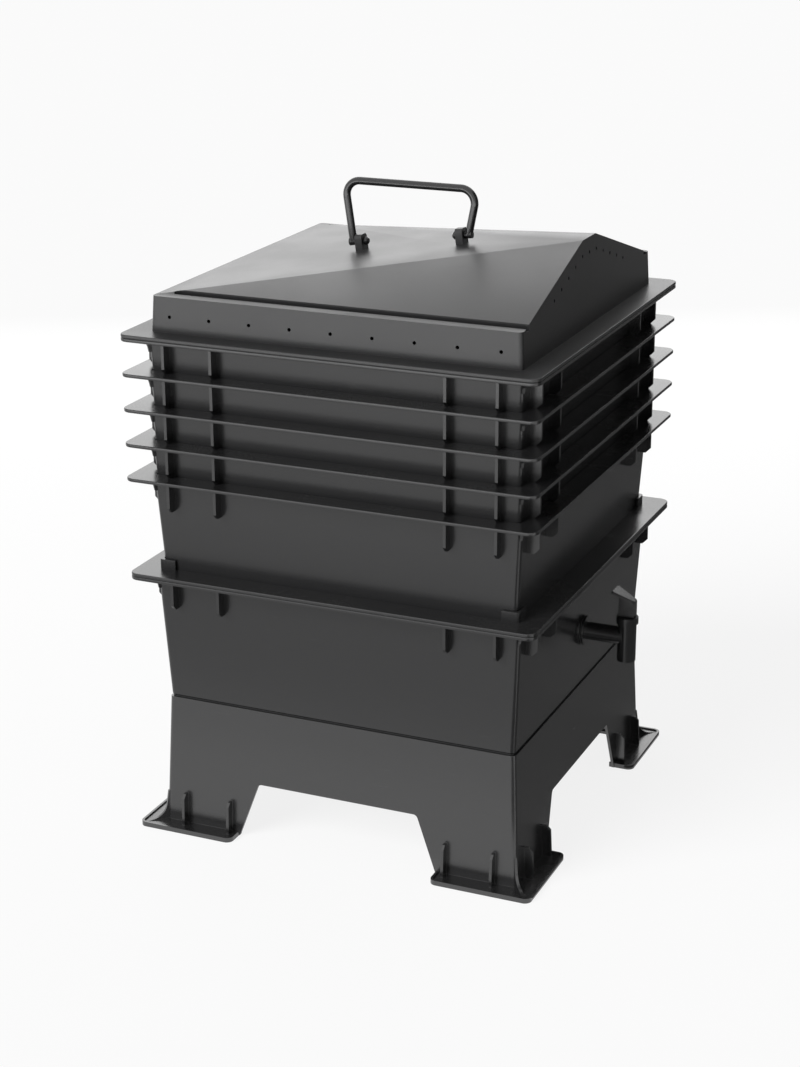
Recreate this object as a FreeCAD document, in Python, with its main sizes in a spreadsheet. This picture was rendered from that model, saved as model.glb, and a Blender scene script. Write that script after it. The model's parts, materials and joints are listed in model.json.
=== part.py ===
import FreeCAD, Part
import math
import os
import Sketcher

# Stacking worm composter: a stand, a collector with a tap, a sieve plate, five nested trays and a hood.
# +Z is up, the floor is z = 0, the stack's axis is the Z axis and the tap is on the +X side.

doc = FreeCAD.newDocument("compost_bin")
sizes = doc.addObject("Spreadsheet::Sheet", "sizes")
places = doc.addObject("Spreadsheet::Sheet", "places")

# Driving dimensions in millimetres, angles in degrees
DRIVING = {
    # flanges and walls that the whole stack shares
    "flange_half": "210",
    "flange_corner": "10",
    "flange_thick": "3.5",
    "wall_top_half": "189.4",
    "wall_corner": "5",
    # trays
    "tray_count": "5",
    "tray_height": "97",
    "tray_pitch": "34.45",
    "tray_wall": "1.6",
    "tray_floor": "2",
    "nest_gap": "0.32",
    # ribs and corner gussets under the flanges
    "rib_inner": "118",
    "rib_outer": "168",
    "rib_thick": "3",
    "rib_reach": "10",
    "rib_land": "5",
    "rib_slant": "5",
    "gusset_reach": "17",
    "gusset_drop": "13",
    "gusset_web": "3",
    "gusset_foot": "1",
    "gusset_thick": "3",
    "gusset_curve": "9",
    # floor slots of the trays and the sieve plate
    "slot_length": "96",
    "slot_width": "8",
    "slot_columns": "3",
    "slot_rows": "6",
    "slot_column_pitch": "112",
    "slot_row_pitch": "56",
    # sieve plate
    "sieve_thick": "3.5",
    "corner_lug_height": "10",
    "corner_lug_length": "15",
    "corner_lug_thick": "2.6",
    "corner_lug_gap": "0.4",
    "corner_lug_corner": "4",
    # collector
    "collector_height": "133",
    "collector_foot_half": "183",
    "collector_wall": "2.6",
    "collector_floor": "3",
    "floor_rise": "49",
    "floor_slope": "2.4",
    "tongue_depth": "12",
    "tongue_wall": "2.6",
    "tongue_gap": "0.5",
    "tongue_root": "9",
    "seam_gap": "1.5",
    "seam_inset": "1",
    # stand
    "stand_height": "137",
    "stand_top_half": "184",
    "stand_foot_half": "190",
    "stand_wall": "3",
    "stand_corner": "5",
    "arch_height": "59",
    "arch_top_half": "85",
    "arch_foot_half": "106.5",
    "arch_corner": "5",
    "foot_reach": "210",
    "foot_inner": "107",
    "foot_thick": "3.5",
    "foot_corner": "7",
    "foot_rim_height": "1.5",
    "foot_rim_width": "2.6",
    "foot_rib_inner": "116",
    "foot_rib_outer": "166",
    "foot_rib_height": "36",
    "foot_rib_reach": "9",
    "foot_rib_slant": "4",
    "foot_gusset_reach": "22",
    "foot_gusset_height": "34",
    "foot_gusset_web": "3",
    "foot_gusset_head": "1",
    "foot_gusset_curve": "17",
    # lid
    "lid_skirt_half": "187",
    "lid_draft": "0.05",
    "lid_corner": "5",
    "lid_rim": "37.3",
    "lid_peak": "49.4",
    "lid_wall": "2.4",
    "lid_lip_depth": "6",
    "lid_lip_gap": "0.4",
    "facet_foot_half": "178",
    "ridge_flat_half": "18.5",
    "groove_inner": "167",
    "groove_width": "8",
    "groove_depth": "2.1",
    "groove_round": "3.9",
    "groove_start": "168",
    "vent_diameter": "3.6",
    "front_vents": "9",
    "front_vent_spacing": "41.55",
    "front_vent_height": "18.4",
    "gable_side_vents": "5",
    "gable_vent_spacing": "20",
    "gable_vent_drop": "14.3",
    # handle and its lugs
    "lug_place": "53.5",
    "lug_width": "7.6",
    "lug_depth": "14",
    "lug_top": "7",
    "lug_round": "4",
    "axis_height": "8.8",
    "pin_diameter": "4.8",
    "pin_gap": "0.05",
    "rod_diameter": "7.6",
    "leg_gap": "0.4",
    "grip_half": "69.8",
    "grip_rise": "52.3",
    "grip_bend": "14",
    "cap_diameter": "8",
    "cap_height": "4.6",
    "cap_shoulder": "2.8",
    "cap_crown": "4.4",
    "cap_hole": "2.6",
    "cap_gap": "0.3",
    # tap
    "tap_height": "198",
    "tap_boss_diameter": "31",
    "tap_boss_face": "187.2",
    "tap_inner_face": "181.6",
    "tap_reach": "43.6",
    "tap_flange_diameter": "30",
    "tap_flange_thick": "2.4",
    "shank_diameter": "16",
    "shank_gap": "0.3",
    "shank_tail": "3",
    "barrel_diameter": "18",
    "barrel_bore": "10",
    "spout_diameter": "18.6",
    "spout_drop": "25",
    "spout_rise": "19",
    "plug_diameter": "13",
    "plug_gap": "0.05",
    "plug_drop": "13",
    "outlet_diameter": "11",
    "seal_diameter": "28",
    "seal_thick": "1.5",
    "nut_flats": "24",
    "nut_thick": "8",
    "nut_turn": "15",
    "bonnet_diameter": "22",
    "bonnet_skirt": "4.5",
    "bonnet_top": "2.5",
    "neck_diameter": "9",
    "stem_width": "16",
    "stem_depth": "10",
    "stem_lift": "0.4",
    "lever_rise": "41.2",
    "lever_slope": "25",
    "lever_inner": "15.8",
    "lever_outer": "8.4",
    "lever_wide": "19",
    "lever_narrow": "8",
    "lever_thick": "3",
    "lever_corner": "1.5",
    "port_diameter": "8",
    "ring_section": "1.5",
    "ring_lift": "9",
}

# Places that follow from the driving dimensions, in the order they build on each other
DERIVED = {
    "draft": "(sizes.tray_wall + sizes.nest_gap) / sizes.tray_pitch",
    "tray_foot_half": "sizes.wall_top_half - sizes.tray_height * draft",
    "collector_top": "sizes.stand_height + sizes.collector_height",
    "sieve_top": "collector_top + sizes.sieve_thick",
    "lid_base": "sieve_top + sizes.tray_height + (sizes.tray_count - 1) * sizes.tray_pitch",
    "rib_length": "sizes.tray_pitch - sizes.flange_thick",
    "collector_rise": "sizes.collector_height - sizes.seam_gap",
    "collector_draft": "(sizes.wall_top_half - sizes.collector_foot_half) / collector_rise",
    "stand_draft": "(sizes.stand_foot_half - sizes.stand_top_half) / sizes.stand_height",
    "floor_half": "sizes.collector_foot_half - sizes.collector_wall / 2 + collector_draft * sizes.floor_rise",
    "tongue_half": "sizes.stand_top_half - sizes.stand_wall - sizes.tongue_gap",
    "rim_top": "lid_base + sizes.lid_rim",
    "rim_half": "sizes.lid_skirt_half - sizes.lid_draft * sizes.lid_rim",
    "gable_half": "rim_half - sizes.lid_draft * sizes.lid_peak",
    "roof_slope": "sizes.lid_peak / (rim_half + gable_half)",
    "roof_middle": "rim_top + roof_slope * rim_half",
    "facet_slope": "sizes.lid_peak / (sizes.facet_foot_half - sizes.ridge_flat_half)",
    "hood_top": "rim_top + 2 * sizes.lid_peak",
    "roof_run": "sqrt(1 + roof_slope * roof_slope)",
    "axis_middle": "roof_middle + sizes.axis_height * roof_run",
    "leg_place": "sizes.lug_place + sizes.lug_width / 2 + sizes.leg_gap + sizes.rod_diameter / 2",
    "leg_x": "leg_place / roof_run",
    "leg_rise": "leg_place * roof_slope / roof_run",
    "grip_top": "axis_middle + sizes.grip_rise",
    "cap_seat": "sizes.lug_place - sizes.lug_width / 2 - sizes.cap_gap",
    "flange_face": "sizes.tap_boss_face + sizes.seal_thick",
    "spout_x": "flange_face + sizes.tap_reach",
    "nut_face": "sizes.tap_inner_face - sizes.seal_thick",
    "shank_end": "nut_face - sizes.nut_thick - sizes.shank_tail",
    "spout_bottom": "sizes.tap_height - sizes.spout_drop",
    "spout_top": "sizes.tap_height + sizes.spout_rise",
    "plug_bottom": "sizes.tap_height - sizes.plug_drop",
    "bonnet_height": "spout_top + sizes.bonnet_top",
    "lever_middle": "sizes.tap_height + sizes.lever_rise",
}


def fill(sheet, entries, prefix):
    """One row for each entry: its word in column A, its value under that alias in column B."""
    for row, (alias, value) in enumerate(entries.items(), start=1):
        sheet.set(f"A{row}", alias)
        sheet.set(f"B{row}", prefix + value)
        sheet.setAlias(f"B{row}", alias)
    doc.recompute()


fill(sizes, DRIVING, "")
fill(places, DERIVED, "=")


def number(expression):
    """The value of an expression on the two sheets."""
    value = sizes.evalExpression(expression)
    return float(getattr(value, "Value", value))


def minus(expression):
    return f"-({expression})"


def new_body(name):
    body = doc.addObject("PartDesign::Body", name)
    body.Label = name
    return body


def datum(body, role):
    return next(feature for feature in body.Origin.OriginFeatures if feature.Role == role)


def sketch(body, plane, lift="0", shift=("0", "0"), turn=None):
    """A sketch on one of the body's planes, lifted off it, shifted and turned about a local axis."""
    drawing = body.newObject("Sketcher::SketchObject", f"{body.Name}_sketch")
    drawing.AttachmentSupport = (datum(body, plane), "")
    drawing.MapMode = "FlatFace"
    if turn:
        axis, angle = turn
        start = FreeCAD.Rotation(FreeCAD.Vector(*axis), number(angle))
        drawing.AttachmentOffset = FreeCAD.Placement(FreeCAD.Vector(), start)
        drawing.setExpression("AttachmentOffset.Rotation.Angle", angle)
    for letter, expression in zip("xyz", (*shift, lift)):
        drawing.setExpression(f"AttachmentOffset.Base.{letter}", expression)
    return drawing


def pin_down(drawing, geometry, vertex, corner):
    """Tie a vertex to the sketch's origin by the corner's two expressions."""
    for kind, expression in zip(("DistanceX", "DistanceY"), corner):
        rule = Sketcher.Constraint(kind, -1, 1, geometry, vertex, number(expression))
        drawing.setExpression(f"Constraints[{drawing.addConstraint(rule)}]", expression)


def outline(drawing, corners, closed=True):
    """Straight sides through the corners (x, y) or (x, y, radius), with an arc where there is a radius."""
    points = [FreeCAD.Vector(number(corner[0]), number(corner[1]), 0) for corner in corners]
    count = len(points)
    sides = count if closed else count - 1
    rounded = [len(corner) > 2 for corner in corners]
    arrive, leave = list(points), list(points)
    for i in range(count):
        if rounded[i]:
            back = (points[i - 1] - points[i]).normalize()
            ahead = (points[(i + 1) % count] - points[i]).normalize()
            reach = number(corners[i][2]) / math.tan(back.getAngle(ahead) / 2)
            arrive[i] = points[i] + back * reach
            leave[i] = points[i] + ahead * reach
    first = drawing.GeometryCount
    for i in range(sides):
        drawing.addGeometry(Part.LineSegment(leave[i], arrive[(i + 1) % count]), False)
    for i, corner in enumerate(corners):
        before, after = first + (i - 1) % count, first + i
        if rounded[i]:
            arc_corner(drawing, before, after, points[i], arrive[i], leave[i], corner)
        elif not closed and i == count - 1:
            pin_down(drawing, before, 2, corner)
        else:
            if closed or i > 0:
                drawing.addConstraint(Sketcher.Constraint("Coincident", before, 2, after, 1))
            pin_down(drawing, after, 1, corner)


def arc_corner(drawing, before, after, point, arrive, leave, corner):
    """A tangent arc between two sides, with the sharp corner kept as a construction point."""
    radius = number(corner[2])
    inward = ((arrive + leave) * 0.5 - point).normalize()
    span = (arrive - point).Length
    centre = point + inward * math.hypot(span, radius)
    left_turn = (point - arrive).cross(leave - point).z > 0
    start, end = (arrive, leave) if left_turn else (leave, arrive)
    angles = [math.atan2((tip - centre).y, (tip - centre).x) for tip in (start, end)]
    if angles[1] < angles[0]:
        angles[1] += 2 * math.pi
    circle = Part.Circle(centre, FreeCAD.Vector(0, 0, 1), radius)
    arc = drawing.addGeometry(Part.ArcOfCircle(circle, *angles), False)
    tip = drawing.addGeometry(Part.Point(point), True)
    first, last = (1, 2) if left_turn else (2, 1)
    drawing.addConstraint(Sketcher.Constraint("Tangent", before, 2, arc, first))
    drawing.addConstraint(Sketcher.Constraint("Tangent", arc, last, after, 1))
    drawing.addConstraint(Sketcher.Constraint("PointOnObject", tip, 1, before))
    drawing.addConstraint(Sketcher.Constraint("PointOnObject", tip, 1, after))
    rule = drawing.addConstraint(Sketcher.Constraint("Radius", arc, radius))
    drawing.setExpression(f"Constraints[{rule}]", corner[2])
    pin_down(drawing, tip, 1, corner)


def ring(drawing, diameter, x="0", y="0"):
    """A circle at an offset from the sketch's origin."""
    centre = FreeCAD.Vector(number(x), number(y), 0)
    circle = Part.Circle(centre, FreeCAD.Vector(0, 0, 1), number(diameter) / 2)
    edge = drawing.addGeometry(circle, False)
    rule = drawing.addConstraint(Sketcher.Constraint("Diameter", edge, number(diameter)))
    drawing.setExpression(f"Constraints[{rule}]", diameter)
    pin_down(drawing, edge, 3, (x, y))


def many_sided(drawing, reach, sides, first="0"):
    """An even outline about the sketch's origin, its corners at a reach and the first one turned."""
    turns = [f"({first} + 360 * {corner} / {sides})" for corner in range(sides)]
    outline(drawing, [(f"{reach} * cos{turn}", f"{reach} * sin{turn}") for turn in turns])


def vent_outline(drawing):
    """A small hole with eight flats, standing on one of them."""
    sides = 8
    many_sided(drawing, "sizes.vent_diameter / 2", sides, f"180 / {sides}")


def rounded_square(half, radius):
    low = minus(half)
    return [(low, low, radius), (half, low, radius), (half, half, radius), (low, half, radius)]


def square_sketch(body, half, radius, lift="0"):
    drawing = sketch(body, "XY_Plane", lift)
    outline(drawing, rounded_square(half, radius))
    return drawing


def extrude(body, kind, profile, length, symmetric=False, flip=False):
    """A Pad or Pocket of the profile, right through where it has no length."""
    feature = body.newObject(f"PartDesign::{kind}", f"{body.Name}_{kind.lower()}")
    feature.Profile = profile
    feature.SideType = "Symmetric" if symmetric else "One side"
    feature.Reversed = flip
    if length is None:
        feature.Type = "ThroughAll"
    else:
        feature.setExpression("Length", length)
    profile.Visibility = False
    return feature


def pad(body, profile, length, symmetric=False, flip=False):
    return extrude(body, "Pad", profile, length, symmetric, flip)


def pocket(body, profile, length=None, symmetric=False, flip=False):
    return extrude(body, "Pocket", profile, length, symmetric, flip)


def drafted_block(body, kind, low, low_half, high, high_half):
    """An Additive or Subtractive square block on the stack's axis, with half widths at its foot and top."""
    block = body.newObject(f"PartDesign::{kind}Wedge", f"{body.Name}_block")
    block.AttachmentSupport = (datum(body, "XZ_Plane"), "")
    block.MapMode = "FlatFace"
    block.setExpression("Ymin", low)
    block.setExpression("Ymax", high)
    for side in "XZ":
        for level, half in (("", low_half), ("2", high_half)):
            block.setExpression(f"{side}{level}min", minus(half))
            block.setExpression(f"{side}{level}max", half)


def round_corners(body, radius):
    """Round the four sharp upright edges on the diagonals, the inner ones where a wall has two sets."""
    doc.recompute()
    tip = body.Tip
    corners = []
    for place, edge in enumerate(tip.Shape.Edges, start=1):
        start, end = edge.firstVertex().Point, edge.lastVertex().Point
        upright = abs(start.z - end.z) > edge.Length / 2
        if upright and all(math.isclose(abs(point.x), abs(point.y)) for point in (start, end)):
            corners.append((abs(start.x + end.x), f"Edge{place}"))
    feature = body.newObject("PartDesign::Fillet", f"{body.Name}_corners")
    feature.Base = (tip, [name for _, name in sorted(corners)[:4]])
    feature.setExpression("Radius", radius)


def revolve(body, profile):
    """A full turn of the profile about its sketch's horizontal axis."""
    feature = body.newObject("PartDesign::Revolution", f"{body.Name}_revolution")
    feature.Profile = profile
    feature.ReferenceAxis = (profile, ["H_Axis"])
    return feature


def four_sides(body, features):
    """The same features on all four sides of the stack."""
    pattern = body.newObject("PartDesign::PolarPattern", f"{body.Name}_sides")
    pattern.Originals = features
    pattern.Axis = (datum(body, "Z_Axis"), [""])
    pattern.Occurrences = 4
    body.Tip = pattern
    return pattern


def in_line(body, direction, count, pitch):
    """A step of a pattern: evenly spaced copies along a direction."""
    step = doc.addObject("PartDesign::LinearPattern", f"{body.Name}_line")
    step.Direction = direction
    step.setExpression("Occurrences", count)
    step.setExpression("Length", f"({count} - 1) * {pitch}")
    return step


def mirrored(body, plane):
    """A step of a pattern: the same on the other side of a plane."""
    step = doc.addObject("PartDesign::Mirrored", f"{body.Name}_mirror")
    step.MirrorPlane = (datum(body, plane), [""])
    return step


def repeat(body, feature, steps):
    """A feature repeated by one pattern step after another."""
    pattern = body.newObject("PartDesign::MultiTransform", f"{body.Name}_pattern")
    pattern.Originals = [feature]
    pattern.Transformations = steps
    body.Tip = pattern


def flange(body, top, wall=None):
    """The wide rim that every piece of the stack carries, rooted in the middle of an open piece's wall."""
    face = square_sketch(body, "sizes.flange_half", "sizes.flange_corner", f"{top} - sizes.flange_thick")
    if wall:
        outline(face, rounded_square(f"sizes.wall_top_half - {wall} / 2", "sizes.wall_corner"))
    pad(body, face, "sizes.flange_thick")


def flange_ribs(body, top, wall, draft):
    """Two upright ribs near each end of every side, hung under the flange as long as the stack's pitch."""
    bottom = f"{top} - places.rib_length"
    face = "sizes.wall_top_half"
    root = f"{face} - {wall} / 2"
    foot_root = f"{root} - {draft} * (places.rib_length + sizes.flange_thick)"
    ribs = []
    for place in ("-sizes.rib_outer", "-sizes.rib_inner", "sizes.rib_inner", "sizes.rib_outer"):
        profile = sketch(body, "YZ_Plane", place)
        outline(profile, [
            (minus(root), top),
            (minus(f"{face} + sizes.rib_reach"), top),
            (minus(f"{face} + sizes.rib_reach"), f"{bottom} + sizes.rib_slant"),
            (minus(f"{face} + sizes.rib_land"), bottom),
            (minus(foot_root), bottom),
        ])
        ribs.append(pad(body, profile, "sizes.rib_thick", symmetric=True))
    four_sides(body, ribs)


# A sketch's turn on to the stack's diagonal
DIAGONAL = ((0, 1, 0), "45")


def flange_gussets(body, top, wall):
    """A thin web with a hollowed edge across each corner under the flange."""
    corner = "(sizes.wall_top_half - sizes.wall_corner) * sqrt(2) + sizes.wall_corner"
    profile = sketch(body, "XZ_Plane", turn=DIAGONAL)
    outline(profile, [
        (f"{corner} - {wall}", top),
        (f"{corner} - {wall}", f"{top} - sizes.gusset_drop"),
        (f"{corner} + sizes.gusset_foot", f"{top} - sizes.gusset_drop"),
        (f"{corner} + sizes.gusset_web", f"{top} - sizes.gusset_web", "sizes.gusset_curve"),
        (f"{corner} + sizes.gusset_reach", top),
    ])
    four_sides(body, [pad(body, profile, "sizes.gusset_thick", symmetric=True)])


def slots(body, lift, depth):
    """Long drain slots through a floor, starting from the one in the low corner."""
    x = "(sizes.slot_columns - 1) * sizes.slot_column_pitch / 2"
    y = "(sizes.slot_rows - 1) * sizes.slot_row_pitch / 2"
    profile = sketch(body, "XY_Plane", lift)
    outline(profile, [
        (f"-{x} - sizes.slot_length / 2", f"-{y} - sizes.slot_width / 2"),
        (f"-{x} + sizes.slot_length / 2", f"-{y} - sizes.slot_width / 2"),
        (f"-{x} + sizes.slot_length / 2", f"-{y} + sizes.slot_width / 2"),
        (f"-{x} - sizes.slot_length / 2", f"-{y} + sizes.slot_width / 2"),
    ])
    repeat(body, pocket(body, profile, depth), [
        in_line(body, (datum(body, "X_Axis"), [""]), "sizes.slot_columns", "sizes.slot_column_pitch"),
        in_line(body, (datum(body, "Y_Axis"), [""]), "sizes.slot_rows", "sizes.slot_row_pitch"),
    ])


def make_tray(name):
    """The lowest nesting tray: tapered thin wall, slotted floor, flange, ribs and gussets."""
    body = new_body(name)
    body.setExpression("Placement.Base.z", "places.sieve_top")
    under = "sizes.tray_height - sizes.flange_thick"
    height, mouth = "sizes.tray_height", "sizes.wall_top_half"
    drafted_block(body, "Additive", "0", "places.tray_foot_half", height, mouth)
    inner_foot = "places.tray_foot_half + places.draft * sizes.tray_floor - sizes.tray_wall"
    drafted_block(body, "Subtractive", "sizes.tray_floor", inner_foot, height, f"{mouth} - sizes.tray_wall")
    round_corners(body, "sizes.wall_corner - sizes.tray_wall")
    round_corners(body, "sizes.wall_corner")
    flange(body, "sizes.tray_height", "sizes.tray_wall")
    flange_ribs(body, under, "sizes.tray_wall", "places.draft")
    flange_gussets(body, under, "sizes.tray_wall")
    slots(body, "sizes.tray_floor", "sizes.tray_floor")
    return body


def tray_above(name, lowest, steps_up):
    """A like tray, nested some steps above the lowest one."""
    tray = doc.addObject("Part::Compound", name)
    tray.Links = [lowest]
    tray.setExpression("Placement.Base.z", f"{steps_up} * sizes.tray_pitch")
    return tray


def make_sieve_plate():
    """The plate that lies on the collector's flange, with lugs round the lowest tray's corners."""
    body = new_body("sieve_plate")
    face = square_sketch(body, "sizes.flange_half", "sizes.flange_corner", "places.collector_top")
    pad(body, face, "sizes.sieve_thick")
    inner = "places.tray_foot_half + places.draft * sizes.corner_lug_height + sizes.corner_lug_gap"
    outer = f"{inner} + sizes.corner_lug_thick"
    end = f"{inner} - sizes.corner_lug_length"
    lug = sketch(body, "XY_Plane", "places.sieve_top")
    outline(lug, [
        (end, inner),
        (inner, inner, "sizes.wall_corner"),
        (inner, end),
        (outer, end),
        (outer, outer, "sizes.corner_lug_corner"),
        (end, outer),
    ])
    four_sides(body, [pad(body, lug, "sizes.corner_lug_height")])
    slots(body, "places.sieve_top", "sizes.sieve_thick")
    return body


def make_collector():
    """The deep box under the trays: sloping floor, flange, ribs, tap seat, and a tongue in the stand."""
    body = new_body("collector")
    under = "places.collector_top - sizes.flange_thick"
    seam = "sizes.stand_height"
    shoulder = f"{seam} + sizes.seam_gap"
    top, mouth = "places.collector_top", "sizes.wall_top_half"
    drafted_block(body, "Additive", shoulder, "sizes.collector_foot_half", top, mouth)
    # The hollow runs right down, stepping in at the tongue's root
    root = f"{shoulder} + sizes.tongue_root"
    wall = "sizes.collector_wall"
    root_half = f"sizes.collector_foot_half + places.collector_draft * sizes.tongue_root - {wall}"
    drafted_block(body, "Subtractive", root, root_half, top, f"{mouth} - {wall}")
    round_corners(body, f"sizes.wall_corner - {wall}")
    round_corners(body, "sizes.wall_corner")
    seat_half = "sizes.collector_foot_half - sizes.seam_inset"
    seat = square_sketch(body, seat_half, "sizes.wall_corner - sizes.seam_inset", seam)
    pad(body, seat, "sizes.seam_gap")
    # The tongue below the seam is as deep as the stand's top edge hides
    tongue = square_sketch(body, "places.tongue_half", "sizes.stand_corner", f"{seam} - sizes.tongue_depth")
    pad(body, tongue, "sizes.tongue_depth")
    throat_corner = "sizes.stand_corner - sizes.tongue_wall"
    throat = square_sketch(body, "places.tongue_half - sizes.tongue_wall", throat_corner, root)
    pocket(body, throat)
    flange(body, top, wall)
    flange_ribs(body, under, wall, "places.collector_draft")
    flange_gussets(body, under, wall)
    base = sketch(body, "XY_Plane", f"{seam} + sizes.floor_rise", turn=((0, 1, 0), "sizes.floor_slope"))
    outline(base, rounded_square("places.floor_half", f"sizes.wall_corner - {wall} / 2"))
    pad(body, base, "sizes.collector_floor", flip=True)
    boss = sketch(body, "YZ_Plane", "sizes.tap_inner_face", ("0", "sizes.tap_height"))
    ring(boss, "sizes.tap_boss_diameter")
    pad(body, boss, "sizes.tap_boss_face - sizes.tap_inner_face")
    hole = sketch(body, "YZ_Plane", "sizes.tap_boss_face", ("0", "sizes.tap_height"))
    ring(hole, "sizes.shank_diameter + 2 * sizes.shank_gap")
    pocket(body, hole, "sizes.tap_boss_face - sizes.tap_inner_face")
    return body


def make_stand():
    """One-piece stand: flared apron with an arch in each side, and a rimmed foot plate at each corner."""
    body = new_body("stand")
    for kind, inset in (("Additive", "0"), ("Subtractive", "sizes.stand_wall")):
        foot, top = f"sizes.stand_foot_half - {inset}", f"sizes.stand_top_half - {inset}"
        drafted_block(body, kind, "0", foot, "sizes.stand_height", top)
    round_corners(body, "sizes.stand_corner - sizes.stand_wall")
    round_corners(body, "sizes.stand_corner")
    for plane in ("XZ_Plane", "YZ_Plane"):
        arch = sketch(body, plane)
        lean = "(sizes.arch_foot_half - sizes.arch_top_half) / sizes.arch_height"
        below = f"sizes.arch_foot_half + {lean} * sizes.foot_thick"
        outline(arch, [
            (minus(below), "-sizes.foot_thick"),
            (below, "-sizes.foot_thick"),
            ("sizes.arch_top_half", "sizes.arch_height", "sizes.arch_corner"),
            ("-sizes.arch_top_half", "sizes.arch_height", "sizes.arch_corner"),
        ])
        pocket(body, arch, None, symmetric=True)
    foot_plates(body)
    foot_ribs(body)
    foot_gussets(body)
    return body


def foot_plate_outline(inset):
    near, far = f"sizes.foot_inner + {inset}", f"sizes.foot_reach - {inset}"
    corner = f"sizes.foot_corner - {inset}"
    return [(near, near, corner), (far, near, corner), (far, far, corner), (near, far, corner)]


def foot_plates(body):
    """A square plate under each leg with a low rim round it."""
    plate = sketch(body, "XY_Plane")
    outline(plate, foot_plate_outline("0"))
    rim = sketch(body, "XY_Plane", "sizes.foot_thick")
    outline(rim, foot_plate_outline("0"))
    outline(rim, foot_plate_outline("sizes.foot_rim_width"))
    four_sides(body, [pad(body, plate, "sizes.foot_thick"), pad(body, rim, "sizes.foot_rim_height")])


def foot_ribs(body):
    """Upright ribs between each leg's outer faces and its plate."""
    face = "sizes.stand_foot_half"
    top_face = f"{face} - places.stand_draft * sizes.foot_rib_height"
    ribs = []
    for place in (
        "-sizes.foot_rib_outer", "-sizes.foot_rib_inner", "sizes.foot_rib_inner", "sizes.foot_rib_outer",
    ):
        profile = sketch(body, "YZ_Plane", place)
        outline(profile, [
            (minus(f"{face} - sizes.stand_wall / 2"), "0"),
            (minus(f"{top_face} - sizes.stand_wall / 2"), "sizes.foot_rib_height"),
            (minus(f"{top_face} + sizes.foot_rib_reach - sizes.foot_rib_slant"), "sizes.foot_rib_height"),
            (minus(f"{top_face} + sizes.foot_rib_reach"), "sizes.foot_rib_height - sizes.foot_rib_slant"),
            (minus(f"{face} + sizes.foot_rib_reach"), "0"),
        ])
        ribs.append(pad(body, profile, "sizes.rib_thick", symmetric=True))
    four_sides(body, ribs)


def foot_gussets(body):
    """A hollowed web from each leg's corner edge to its plate's outer corner."""
    corner = "(sizes.stand_foot_half - sizes.stand_corner) * sqrt(2) + sizes.stand_corner"
    hollow = f"{corner} + sizes.foot_gusset_web"
    hollow_level = "sizes.foot_thick + sizes.foot_gusset_web"
    profile = sketch(body, "XZ_Plane", turn=DIAGONAL)
    outline(profile, [
        (f"{corner} - sizes.stand_wall", "0"),
        (f"{corner} + sizes.foot_gusset_reach", "0"),
        (f"{corner} + sizes.foot_gusset_reach", "sizes.foot_thick"),
        (hollow, hollow_level, "sizes.foot_gusset_curve"),
        (f"{corner} - sizes.foot_gusset_head", "sizes.foot_gusset_height"),
        (f"{corner} - sizes.stand_wall", "sizes.foot_gusset_height"),
    ])
    four_sides(body, [pad(body, profile, "sizes.gusset_thick", symmetric=True)])


def roof_cuts(body, rise, shoulder):
    """Slice a block to the roof: one plane that climbs from -X to +X and two that fall to the sides.

    rise is how far the planes are lifted, and shoulder lists the points of the side planes' feet.
    """
    far = "sizes.flange_half"
    climb = f"places.roof_slope * {far}"
    top = sketch(body, "XZ_Plane")
    outline(top, [
        (minus(far), f"places.roof_middle + {rise} - {climb}"),
        (far, f"places.roof_middle + {rise} + {climb}"),
        (far, "places.hood_top + 2 * sizes.lid_peak"),
        (minus(far), "places.hood_top + 2 * sizes.lid_peak"),
    ])
    pocket(body, top, None, symmetric=True)
    apex = f"places.rim_top + {rise} + places.facet_slope * sizes.facet_foot_half"
    level = shoulder[0][1]
    sides = sketch(body, "YZ_Plane")
    outline(sides, [
        (minus(far), level),
        *[(minus(y), z) for y, z in shoulder],
        ("0", apex),
        *reversed(shoulder),
        (far, level),
        (far, "places.hood_top + 2 * sizes.lid_peak"),
        (minus(far), "places.hood_top + 2 * sizes.lid_peak"),
    ])
    pocket(body, sides, None, symmetric=True)


def hood(body, base, inset):
    """A block with the lid's drafted walls, tall enough for the roof to be sliced from it."""
    foot = f"sizes.lid_skirt_half + sizes.lid_draft * (places.lid_base - ({base})) - {inset}"
    top = f"{foot} - sizes.lid_draft * (places.hood_top - ({base}))"
    drafted_block(body, "Additive", base, foot, "places.hood_top", top)
    round_corners(body, f"sizes.lid_corner - {inset}")


def axis_sketch(body, place):
    """A sketch square to the handle's sloping axis, at a place along it from the middle."""
    x = f"({place}) / places.roof_run"
    z = f"places.axis_middle + ({place}) * places.roof_slope / places.roof_run"
    return sketch(body, "YZ_Plane", x, ("0", z), ((1, 0, 0), "-atan(places.roof_slope)"))


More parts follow.
